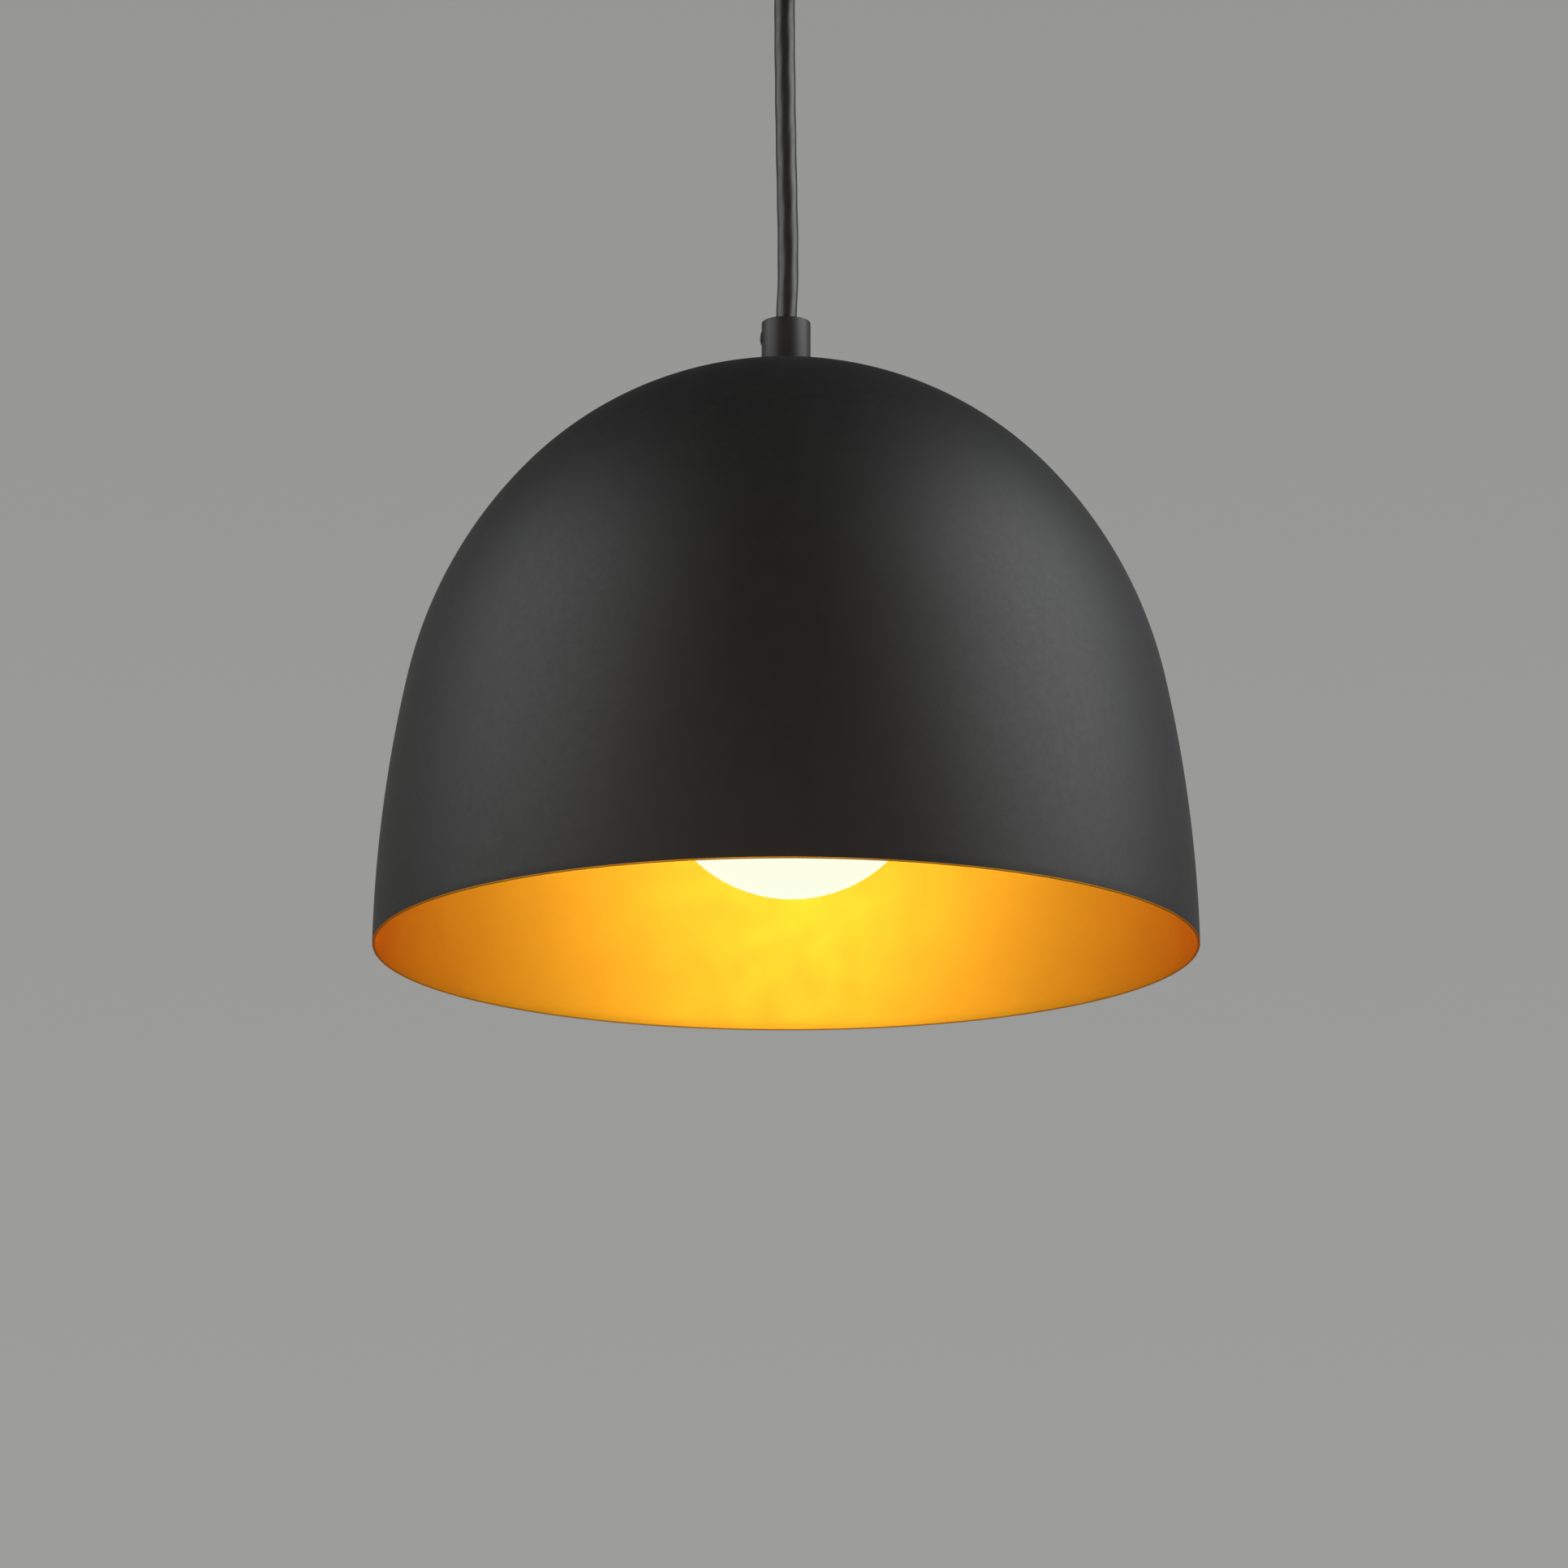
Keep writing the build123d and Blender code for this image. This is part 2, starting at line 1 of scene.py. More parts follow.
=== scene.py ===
"""Looks of the dome pendant lamp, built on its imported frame. Metres, +Z up."""

import json
import math

import bpy
from mathutils import Matrix, Vector


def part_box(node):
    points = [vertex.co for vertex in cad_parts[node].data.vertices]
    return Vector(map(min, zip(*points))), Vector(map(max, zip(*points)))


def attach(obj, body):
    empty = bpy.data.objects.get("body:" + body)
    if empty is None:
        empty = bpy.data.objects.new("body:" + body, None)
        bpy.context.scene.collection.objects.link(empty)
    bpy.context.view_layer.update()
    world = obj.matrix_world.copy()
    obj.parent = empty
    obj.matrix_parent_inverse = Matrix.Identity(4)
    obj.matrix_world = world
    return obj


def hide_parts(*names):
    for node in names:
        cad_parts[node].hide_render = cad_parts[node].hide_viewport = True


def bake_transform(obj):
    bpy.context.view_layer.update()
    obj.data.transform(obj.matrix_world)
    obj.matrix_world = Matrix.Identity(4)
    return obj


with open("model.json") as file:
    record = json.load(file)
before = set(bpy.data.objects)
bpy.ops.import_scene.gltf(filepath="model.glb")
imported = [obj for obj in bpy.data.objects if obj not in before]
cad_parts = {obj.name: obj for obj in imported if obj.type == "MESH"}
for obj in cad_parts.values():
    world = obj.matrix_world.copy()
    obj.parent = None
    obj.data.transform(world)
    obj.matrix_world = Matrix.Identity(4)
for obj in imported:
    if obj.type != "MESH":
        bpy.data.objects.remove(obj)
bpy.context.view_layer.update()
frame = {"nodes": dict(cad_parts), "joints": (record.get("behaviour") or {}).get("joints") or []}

MM = 0.001

# Places read from the frame
SHADE_LOW, SHADE_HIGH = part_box("shade")
RIM_R = SHADE_HIGH.x
RIM_Z = SHADE_LOW.z
SEAT_Z = SHADE_HIGH.z
COLLAR_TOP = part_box("cord_collar")[1].z
CEILING_GRIP_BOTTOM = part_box("canopy_grip")[0].z
GLOBE_LOW, GLOBE_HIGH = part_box("bulb_envelope")
BULB_AXIS = -Vector(next(j["axis"] for j in frame["joints"] if j["name"] == "bulb_out")).normalized()

# The camera looks up at the rim from a little below it; its angles are in degrees, its lens and
# sensor in millimetres
VIEW_DISTANCE = 2.313
VIEW_BELOW = 12.006
VIEW_PITCH = 13.164
VIEW_SIDE = -0.0006
LENS = 186.9
SENSOR = 36.0
NEAREST, FARTHEST = 0.05, 60.0

# Shade: a skirt, a shoulder and a crown, each an arc that runs on from the last; leans in degrees
RIM_LEAN = 1.0
SKIRT_R = 0.3965
SKIRT_END_LEAN = 12.2
SHOULDER_R = 0.128
SHOULDER_END_LEAN = 43.2
SHEET = 0.0008
NIPPLE_HOLE_R = 0.0052

# Cord: round, the twist of its three cores showing as a low ripple
CORD_R = 0.00305
CORES = 3
CORE_LAY = 0.046
CORE_RIPPLE = 0.00004

# Bulb: a globe, a blend and a neck in a threaded base; heights run from the globe's centre to the base
GLOBE_R = 0.040
NECK_R = 0.0136
NECK_BLEND_R = 0.012
GLASS = 0.0009
BASE_R = 0.0131
BASE_END = 0.0516
BASE_TOP = 0.0721
THREAD_PITCH = 0.00363

# Ceiling cover, its two studs and their nuts
CANOPY_SHEET = 0.001
CANOPY_CORNER_R = 0.006
STUD_R = 0.00205
STUD_SPACING = 0.06985
STUD_SIDES = (-STUD_SPACING / 2, STUD_SPACING / 2)
NUT_BORE_R = 0.0021


# Meshes ----------------------------------------------------------------------------------

# A radius this small lies on the axis, and two radii this close are the same
ON_AXIS = 1e-7
HAIR = 1e-6


def arc(centre, radius, start, end, steps):
    """Points of radius and height along an arc, between two angles in degrees."""
    points = []
    for i in range(steps + 1):
        angle = math.radians(start + (end - start) * i / steps)
        points.append((centre[0] + radius * math.cos(angle), centre[1] + radius * math.sin(angle)))
    return points


def rounded(points, radius, steps=5):
    """An open outline with each inner corner rounded to the radius, or less where a side is short."""
    share = 0.45
    result = [points[0]]
    for before, here, after in zip(points, points[1:], points[2:]):
        a, b, c = Vector(before), Vector(here), Vector(after)
        cut = min(radius, (a - b).length * share, (c - b).length * share)
        start, end = b + (a - b).normalized() * cut, b + (c - b).normalized() * cut
        for i in range(steps + 1):
            t = i / steps
            result.append(tuple(start * (1 - t) ** 2 + b * 2 * t * (1 - t) + end * t**2))
    result.append(points[-1])
    return result


def lathe(outline, segments=128, closed=False, wobble=None, skins=None):
    """Points, outward faces and material numbers of an outline of radius and height turned about Z."""
    points, rings, faces, numbers = [], [], [], []
    for r, z in outline:
        if r < ON_AXIS:
            rings.append([len(points)] * segments)
            points.append((0.0, 0.0, z))
            continue
        rings.append(list(range(len(points), len(points) + segments)))
        for i in range(segments):
            angle = 2 * math.pi * i / segments
            radius = wobble(angle, r, z) if wobble else r
            points.append((radius * math.cos(angle), radius * math.sin(angle), z))
    last = len(rings) if closed else len(rings) - 1
    for k in range(last):
        low, high = rings[k], rings[(k + 1) % len(rings)]
        for i in range(segments):
            j = (i + 1) % segments
            corners = list(dict.fromkeys((low[i], low[j], high[j], high[i])))
            if len(corners) > 2:
                faces.append(corners)
                numbers.append(skins[k] if skins else 0)
    signed_area = sum(a[0] * b[1] - b[0] * a[1] for a, b in zip(outline, outline[1:] + outline[:1]))
    if signed_area < 0:
        faces = [corners[::-1] for corners in faces]
    return points, faces, numbers


def piece(name, shape, body, slot, *materials, replaces=(), place=None, sharp=40):
    """A smooth mesh piece, riding on a body if one is given."""
    points, faces, numbers = shape
    mesh = bpy.data.meshes.new(name)
    mesh.from_pydata(points, [], faces)
    mesh.polygons.foreach_set("material_index", numbers)
    for one in materials:
        mesh.materials.append(one)
    if place:
        mesh.transform(place)
    mesh.validate()
    mesh.shade_smooth()
    mesh.set_sharp_from_angle(angle=math.radians(sharp))
    made = bpy.data.objects.new(name, mesh)
    bpy.context.scene.collection.objects.link(made)
    if replaces:
        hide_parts(*replaces)
    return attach(made, body) if body else made


# Materials -------------------------------------------------------------------------------


def linear(red, green, blue):
    """A colour given as screen values from 0 to 255."""

    def one(value):
        value /= 255
        return value / 12.92 if value <= 0.04045 else ((value + 0.055) / 1.055) ** 2.4

    return (one(red), one(green), one(blue), 1.0)


def surface(name, colour, roughness, metallic=0.0, specular=0.5, coat=0.0):
    """A material whose Principled shader has these values."""
    made = bpy.data.materials.new(name)
    made.use_nodes = True
    shader = made.node_tree.nodes["Principled BSDF"]
    shader.inputs["Base Color"].default_value = colour
    shader.inputs["Roughness"].default_value = roughness
    shader.inputs["Metallic"].default_value = metallic
    shader.inputs["Specular IOR Level"].default_value = specular
    shader.inputs["Coat Weight"].default_value = coat
    return made


def noise(made, scale, detail=2.0, stretch=(1, 1, 1)):
    """The output of a noise fixed to the piece; a small stretch value draws it out along that axis."""
    nodes, links = made.node_tree.nodes, made.node_tree.links
    place = nodes.new("ShaderNodeTexCoord")
    mapping = nodes.new("ShaderNodeMapping")
    mapping.inputs["Scale"].default_value = stretch
    texture = nodes.new("ShaderNodeTexNoise")
    texture.inputs["Scale"].default_value = scale
    texture.inputs["Detail"].default_value = detail
    links.new(place.outputs["Object"], mapping.inputs["Vector"])
    links.new(mapping.outputs["Vector"], texture.inputs["Vector"])
    return texture.outputs["Fac"]


# The part of the noise's range that is spread from one end to the other
NOISE_LOW, NOISE_HIGH = 0.3, 0.7


def vary_colour(made, factor, dark, light):
    """Colour that wanders between two tones."""
    nodes, links = made.node_tree.nodes, made.node_tree.links
    ramp = nodes.new("ShaderNodeValToRGB")
    ramp.color_ramp.elements[0].position = NOISE_LOW
    ramp.color_ramp.elements[0].color = dark
    ramp.color_ramp.elements[1].position = NOISE_HIGH
    ramp.color_ramp.elements[1].color = light
    links.new(factor, ramp.inputs["Fac"])
    links.new(ramp.outputs["Color"], nodes["Principled BSDF"].inputs["Base Color"])


def vary_roughness(made, factor, low, high):
    """Roughness that wanders between two values."""
    nodes, links = made.node_tree.nodes, made.node_tree.links
    spread = nodes.new("ShaderNodeMapRange")
    spread.inputs["From Min"].default_value = NOISE_LOW
    spread.inputs["From Max"].default_value = NOISE_HIGH
    spread.inputs["To Min"].default_value = low
    spread.inputs["To Max"].default_value = high
    links.new(factor, spread.inputs["Value"])
    links.new(spread.outputs["Result"], nodes["Principled BSDF"].inputs["Roughness"])


def bumps(made, factor, depth, strength):
    """A fine relief, its depth in metres."""
    nodes, links = made.node_tree.nodes, made.node_tree.links
    bump = nodes.new("ShaderNodeBump")
    bump.inputs["Distance"].default_value = depth
    bump.inputs["Strength"].default_value = strength
    links.new(factor, bump.inputs["Height"])
    links.new(bump.outputs["Normal"], nodes["Principled BSDF"].inputs["Normal"])


def scaled(colour, share):
    """A colour made lighter or darker."""
    return tuple(c * share for c in colour[:3]) + (1.0,)


def powder_coat(name, colour, roughness, grain=1400):
    """Matt black powder coat with its fine orange-peel."""
    made = surface(name, colour, roughness, specular=0.27)
    vary_colour(made, noise(made, 150, 4), scaled(colour, 0.8), scaled(colour, 1.2))
    vary_roughness(made, noise(made, 500, 4), roughness - 0.02, roughness + 0.02)
    bumps(made, noise(made, grain, 3), 0.00004, 0.5)
    return made


def gold_paint():
    """The metallic gold coat inside the shade, with faint rings left by spinning."""
    colour = (0.520, 0.375, 0.023, 1.0)
    rings = (0.02, 0.02, 1)
    made = surface("gold_inside", colour, 0.58, metallic=1.0, coat=1.0)
    shader = made.node_tree.nodes["Principled BSDF"]
    shader.inputs["Specular Tint"].default_value = (1.0, 0.42, 0.10, 1.0)
    shader.inputs["Coat IOR"].default_value = 1.05
    shader.inputs["Coat Roughness"].default_value = 0.5
    shader.inputs["Coat Tint"].default_value = (0.93, 0.70, 0.73, 1.0)
    vary_colour(made, noise(made, 25, 3), scaled(colour, 0.97), scaled(colour, 1.03))
    vary_roughness(made, noise(made, 120, 3), 0.56, 0.60)
    bumps(made, noise(made, 700, 2, rings), 0.00002, 0.25)
    return made


def metal(name, colour, roughness):
    """Bare or plated metal with fine marks."""
    made = surface(name, colour, roughness, metallic=1.0)
    vary_colour(made, noise(made, 260, 4), scaled(colour, 0.9), scaled(colour, 1.05))
    vary_roughness(made, noise(made, 500, 4), roughness - 0.04, roughness + 0.08)
    bumps(made, noise(made, 1500, 2), 0.00002, 0.4)
    return made


def plastic(name, colour, roughness, specular=0.5):
    """Moulded or drawn plastic with a faint grain."""
    made = surface(name, colour, roughness, specular=specular)
    vary_colour(made, noise(made, 90, 2), scaled(colour, 0.9), scaled(colour, 1.1))
    vary_roughness(made, noise(made, 300, 3), roughness - 0.05, roughness + 0.07)
    bumps(made, noise(made, 1200, 2), 0.00002, 0.15)
    return made


def porcelain():
    """White glazed porcelain, a little uneven."""
    colour = (0.80, 0.78, 0.72, 1.0)
    made = surface("porcelain", colour, 0.16, coat=0.6)
    vary_colour(made, noise(made, 60, 3), scaled(colour, 0.94), scaled(colour, 1.03))
    bumps(made, noise(made, 150, 2), 0.0001, 0.25)
    return made


def three_tones(nodes, tones):
    """A ramp through three pairs of a place from 0 to 1 and a colour."""
    ramp = nodes.new("ShaderNodeValToRGB")
    ramp.color_ramp.elements.new(0.5)
    for stop, (place, tone) in zip(ramp.color_ramp.elements, tones):
        stop.position = place
        stop.color = tone
    return ramp


def opal():
    """Opal glass lit from inside, dimmer and warmer at the neck, with a faint cloud in it."""
    made = surface("opal_glass", (0.08, 0.08, 0.07, 1.0), 0.5, specular=0.12)
    nodes, links = made.node_tree.nodes, made.node_tree.links
    place = nodes.new("ShaderNodeTexCoord")
    split = nodes.new("ShaderNodeSeparateXYZ")
    cloud = nodes.new("ShaderNodeMath")
    cloud.operation = "MULTIPLY_ADD"
    cloud.inputs[1].default_value = 0.06
    bottom, upper, neck = (0.915, 0.955, 0.76, 1.0), (0.905, 0.93, 0.70, 1.0), (0.78, 0.66, 0.42, 1.0)
    ramp = three_tones(nodes, ((0.0, bottom), (0.6, upper), (0.9, neck)))
    links.new(place.outputs["Generated"], split.inputs["Vector"])
    links.new(noise(made, 60, 2), cloud.inputs[0])
    links.new(split.outputs["Z"], cloud.inputs[2])
    links.new(cloud.outputs["Value"], ramp.inputs["Fac"])
    links.new(ramp.outputs["Color"], nodes["Principled BSDF"].inputs["Emission Color"])
    nodes["Principled BSDF"].inputs["Emission Strength"].default_value = 1.0
    return made


def glass(name, colour, roughness):
    """Plain glass."""
    made = surface(name, colour, roughness)
    made.node_tree.nodes["Principled BSDF"].inputs["Transmission Weight"].default_value = 1.0
    vary_roughness(made, noise(made, 80, 2), roughness, roughness + 0.04)
    return made


OUTSIDE = powder_coat("shade_outside", (0.0035, 0.0035, 0.0036, 1.0), 0.55)
INSIDE = gold_paint()
FITTING = powder_coat("fitting_black", (0.007, 0.007, 0.0073, 1.0), 0.45, 2500)
SHEATH = plastic("cord_sheath", (0.007, 0.007, 0.0073, 1.0), 0.36, 0.34)
ZINC = metal("zinc_plate", (0.60, 0.61, 0.60, 1.0), 0.44)
BRASS = metal("brass", (0.72, 0.50, 0.20, 1.0), 0.28)
NICKEL = metal("nickel", (0.62, 0.60, 0.55, 1.0), 0.22)
STEEL = metal("bulb_wire", (0.30, 0.29, 0.28, 1.0), 0.4)
BLACK_CORE = plastic("black_core", (0.015, 0.015, 0.016, 1.0), 0.4)
WHITE_CORE = plastic("white_core", (0.72, 0.70, 0.66, 1.0), 0.4)
GREEN_CORE = plastic("green_core", (0.03, 0.22, 0.05, 1.0), 0.4)
ORANGE = plastic("connector_orange", (0.75, 0.22, 0.02, 1.0), 0.45)
GREEN_SCREW = metal("green_screw", (0.05, 0.34, 0.10, 1.0), 0.35)
PORCELAIN = porcelain()
OPAL = opal()
CLEAR = glass("clear_glass", (0.85, 0.9, 0.9, 1.0), 0.02)
BLACK_GLASS = plastic("black_glass", (0.01, 0.01, 0.014, 1.0), 0.12)

KEPT_NODES = {
    "mounting_strap": ZINC,
    "ground_screw": GREEN_SCREW,
    "stud_locknuts": ZINC,
    "canopy_lock_washer": ZINC,
    "canopy_hex_nut": ZINC,
    "ceiling_hot_lead": BLACK_CORE,
    "ceiling_neutral_lead": WHITE_CORE,
    "ceiling_ground_lead": GREEN_CORE,
    "cord_ceiling_end": SHEATH,
    "cord_lamp_end": SHEATH,
    "shade_washer": ZINC,
    "shade_lock_washer": ZINC,
    "shade_nut": ZINC,
    "cap_washer": ZINC,
    "ground_ring": BRASS,
    "cap_nut": ZINC,
    "terminal_screws": BRASS,
    "centre_contact": BRASS,
    "lamp_hot_lead": BLACK_CORE,
    "lamp_neutral_lead": WHITE_CORE,
    "lamp_ground_lead": GREEN_CORE,
    "bulb_insulator": BLACK_GLASS,
    "bulb_contact": NICKEL,
    "bulb_stem": CLEAR,
    "bulb_support_wires": STEEL,
    "bulb_filament": STEEL,
}


def finish_kept_nodes():
    """Gives each CAD node that stays its own finish."""
    for name, finish in KEPT_NODES.items():
        for entry in frame["nodes"][name].material_slots:
            entry.material = finish


# Camera and cord -------------------------------------------------------------------------


def camera():
    """The camera, below the rim and in front of it, pitched up at the lamp."""
    data = bpy.data.cameras.new("camera")
    data.sensor_width = SENSOR
    data.lens = LENS
    data.clip_start = NEAREST
    data.clip_end = FARTHEST
    made = bpy.data.objects.new("camera", data)
    below = math.radians(VIEW_BELOW)
    ahead, down = VIEW_DISTANCE * math.cos(below), VIEW_DISTANCE * math.sin(below)
    made.location = (VIEW_SIDE, -ahead, RIM_Z - down)
    made.rotation_euler = (math.radians(90 + VIEW_PITCH), 0, 0)
    bpy.context.scene.collection.objects.link(made)
    bpy.context.scene.camera = made


def spline_points(route):
    """Points along the smooth line of a route, from a NURBS spline."""
    curve = bpy.data.curves.new("route", "CURVE")
    curve.dimensions = "3D"
    curve.resolution_u = 40
    line = curve.splines.new("NURBS")
    line.points.add(len(route) - 1)
    for point, place in zip(line.points, route):
        point.co = (*place, 1)
    line.order_u = 3
    line.use_endpoint_u = True
    holder = bpy.data.objects.new("route", curve)
    mesh = bpy.data.meshes.new_from_object(holder)
    points = [v.co.copy() for v in mesh.vertices]
    bpy.data.objects.remove(holder)
    return points


def cord():
    """The free cord: it bends at the ceiling grip's mouth, so it rides on no single body."""
    top, bottom = CEILING_GRIP_BOTTOM, COLLAR_TOP
    inset = 2.6 * MM
    route = [
        (0.0, 0.0, bottom - inset),
        (0.0002, 0.0, bottom + 4 * MM),
        (0.0006, 0.0, bottom + 14 * MM),
        (0.0005, 0.0001, bottom + 30 * MM),
        (0.0000, 0.0001, bottom + 52 * MM),
        (-0.0003, 0.0, bottom + 76 * MM),
        (-0.0005, 0.0, bottom + 95 * MM),
        (-0.0001, 0.0, top - 3 * MM),
        (0.0, 0.0, top + 2 * MM),
    ]
    line = spline_points(route)
    segments = 48
    points, faces = [], []
    for place in line:
        for i in range(segments):
            angle = 2 * math.pi * i / segments
            ripple = CORE_RIPPLE * math.cos(CORES * (angle - 2 * math.pi * place.z / CORE_LAY))
            radius = CORD_R - CORE_RIPPLE + ripple
            x, y = place.x + radius * math.cos(angle), place.y + radius * math.sin(angle)
            points.append((x, y, place.z))
    for k in range(len(line) - 1):
        for i in range(segments):
            j = (i + 1) % segments
            low, high = k * segments, (k + 1) * segments
            faces.append((low + i, low + j, high + j, high + i))
    first, last = 0, (len(line) - 1) * segments
    faces.append(tuple(reversed(range(first, first + segments))))
    faces.append(tuple(range(last, last + segments)))
    shape = (points, faces, [0] * len(faces))
    made = piece("cord_tube", shape, None, "cord_black", SHEATH, replaces=["cord"])
    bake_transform(made)


# Shade and bulb --------------------------------------------------------------------------


def shade_meridian(inset):
    """The wall's line from just above the rim to the seat, moved inward by the inset."""
    round_off = math.degrees(SHEET / 2 / SKIRT_R)
    r, z, lean = RIM_R, RIM_Z, RIM_LEAN
    points = []
    arcs = ((SKIRT_R, SKIRT_END_LEAN, 28), (SHOULDER_R, SHOULDER_END_LEAN, 26))
    for radius, end_lean, steps in arcs:
        centre = (r - radius * math.cos(math.radians(lean)), z - radius * math.sin(math.radians(lean)))
        start = lean + (round_off if not points else 0)
        points += arc(centre, radius - inset, start, end_lean, steps)[:-1]
        r = centre[0] + radius * math.cos(math.radians(end_lean))
        z = centre[1] + radius * math.sin(math.radians(end_lean))
        lean = end_lean
    crown_r = r / math.cos(math.radians(lean))
    crown_z = z - crown_r * math.sin(math.radians(lean))
    end = math.degrees(math.asin((SEAT_Z - inset - crown_z) / (crown_r - inset)))
    return points + arc((0, crown_z), crown_r - inset, lean, end, 30)


def shade():
    """The spun dome: matt black outside, gold inside, its cut rim rounded."""
    outer = shade_meridian(0.0)
    inner = shade_meridian(SHEET)
    rim = arc((RIM_R - SHEET / 2, RIM_Z + SHEET / 2), SHEET / 2, -180, 0, 8)[1:-1]
    top = [(NIPPLE_HOLE_R, SEAT_Z), (NIPPLE_HOLE_R, SEAT_Z - SHEET)]
    outline = outer + top + inner[::-1] + rim
    black = len(outer) + 1
    gold = len(outline) - black
    skins = [0] * black + [1] * gold
    shape = lathe(outline, 288, closed=True, skins=skins)
    piece("dome_shade", shape, "lamp", "shade_black", OUTSIDE, INSIDE, replaces=["shade"])


def bulb_place():
    """What moves a shape that stands on the globe's centre, along Z, to the bulb's place and lean."""
    centre = Vector(((GLOBE_LOW.x + GLOBE_HIGH.x) / 2, 0, GLOBE_LOW.z + GLOBE_R))
    turn = Vector((0, 0, 1)).rotation_difference(BULB_AXIS).to_matrix().to_4x4()
    return Matrix.Translation(centre) @ turn


def glass_wall(inset):
    """The globe, the blend and the neck, moved inward by the inset."""
    ball, blend, neck = GLOBE_R - inset, NECK_BLEND_R + inset, NECK_R - inset
    rise = math.sqrt((ball + blend) ** 2 - (neck + blend) ** 2)
    meet = math.degrees(math.asin(rise / (ball + blend)))
    globe = arc((0, 0), ball, -90, meet, 64)
    bend = arc((neck + blend, rise), blend, 180 + meet, 180, 14)
    neck_end = BASE_END - 0.0006
    return [(0, -ball)] + globe[1:-1] + bend + [(neck, neck_end)]


def envelope():
    """The opal globe with its neck, let into the base."""
    lip_r = BASE_R - 0.7 * MM
    lip_end = BASE_END + 2 * MM
    outer = glass_wall(0.0)
    inner = glass_wall(GLASS)
    lip = [outer[-1], (lip_r, BASE_END), (lip_r, lip_end), (lip_r - GLASS, lip_end), inner[-1]]
    top = rounded(lip, 0.0003)
    outline = outer[:-1] + top + inner[::-1][1:]
    made = piece("opal_globe", lathe(outline, 144), "bulb", "opal_glass", OPAL,
                 replaces=["bulb_envelope"], place=bulb_place(), sharp=60)
    # The glow is inside the globe, so the globe casts no shadow
    made.visible_shadow = False
    return made


def faded(z, low, low_fade, high, high_fade):
    """From 0 at the low and high ends to 1 between them, over each end's own fade length."""
    return min(1.0, max(0.0, (z - low) / low_fade), max(0.0, (high - z) / high_fade))


def groove(angle, z, pitch):
    """How deep a round thread is cut at a point, from 0 on its crest to 1 in its root."""
    return 0.5 - 0.5 * math.cos(2 * math.pi * z / pitch - angle)


def screw_thread(depth, low, high):
    """A wobble that cuts the bulb's thread between two heights, fading out at both."""
    run_out = 0.002

    def at(angle, r, z):
        return r - depth * faded(z, low, run_out, high, run_out) * groove(angle, z, THREAD_PITCH)

    return at


def ladder(radius, low, high, step):
    """Points up a wall, about a step apart."""
    count = max(2, round((high - low) / step))
    return [(radius, low + (high - low) * i / count) for i in range(count + 1)]


def bulb_base():
    """The bulb's threaded metal base."""
    wall = 0.0004
    bore_r, end_r = BASE_R - 0.0012, BASE_R - 0.0026
    outer = ladder(BASE_R, BASE_END, BASE_TOP - 0.0015, THREAD_PITCH / 14)
    inner = ladder(bore_r, BASE_END, BASE_TOP - 0.0022, THREAD_PITCH / 4)
    shoulder = [(bore_r, BASE_TOP - 0.0004), (end_r, BASE_TOP), (end_r - wall, BASE_TOP - wall)]
    outline = outer + shoulder + inner[::-1]
    thread = screw_thread(0.0008, BASE_END + 0.0008, BASE_TOP - 0.002)

    def wobble(angle, r, z):
        on_outside = r > BASE_R - 0.0001
        return thread(angle, r, z) if on_outside else r

    piece("threaded_base", lathe(outline, 96, closed=True, wobble=wobble), "bulb", "nickel", NICKEL,
          replaces=["bulb_base_shell"], place=bulb_place(), sharp=50)


# Lampholder ------------------------------------------------------------------------------


def socket_body():
    """The glazed lampholder body, hollow above and below."""
    low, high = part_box("socket_body")
    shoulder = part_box("socket_cap")[0].z
    block_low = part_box("screw_shell")[1].z + 1 * MM
    block_high = block_low + 4 * MM
    bead_r, r, neck_r, bore_r, chamber_r = high.x, 0.019, 0.0172, 0.015, 0.0145
    bead_low, bead_high, bead_end = low.z + 0.001, low.z + 0.0042, low.z + 0.0052
    outer_chamfer, inner_chamfer = 0.0012, 0.0008
    outside = [
        (chamber_r, high.z),
        (neck_r, high.z),
        (neck_r, shoulder),
        (r, shoulder),
        (r, bead_end),
        (bead_r, bead_high),
        (bead_r, bead_low),
        (bead_r - outer_chamfer, low.z),
        (bore_r + inner_chamfer, low.z),
        (bore_r, low.z + inner_chamfer),
        (bore_r, block_low),
    ]
    inside = [(chamber_r, block_high), (chamber_r, high.z)]
    block = [(0, block_low), (0, block_high)]
    shape = lathe(rounded(outside, 0.0009) + block + inside, 128)
    piece("porcelain_body", shape, "lamp", "porcelain", PORCELAIN, replaces=["socket_body"])


def socket_cap():
    """The black cap above the lampholder's body."""
    low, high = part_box("socket_cap")
    r, wall, top = high.x, 0.0015, 0.002
    bore = 0.005
    outer = [(bore, high.z), (r, high.z), (r, low.z)]
    inner = [(r - wall, low.z), (r - wall, high.z - top), (bore, high.z - top)]
    shape = lathe(rounded(outer, 0.005, 10) + rounded(inner, 0.0035, 8), 128, closed=True)
    piece("lampholder_cap", shape, "lamp", "fitting_black", FITTING, replaces=["socket_cap"])


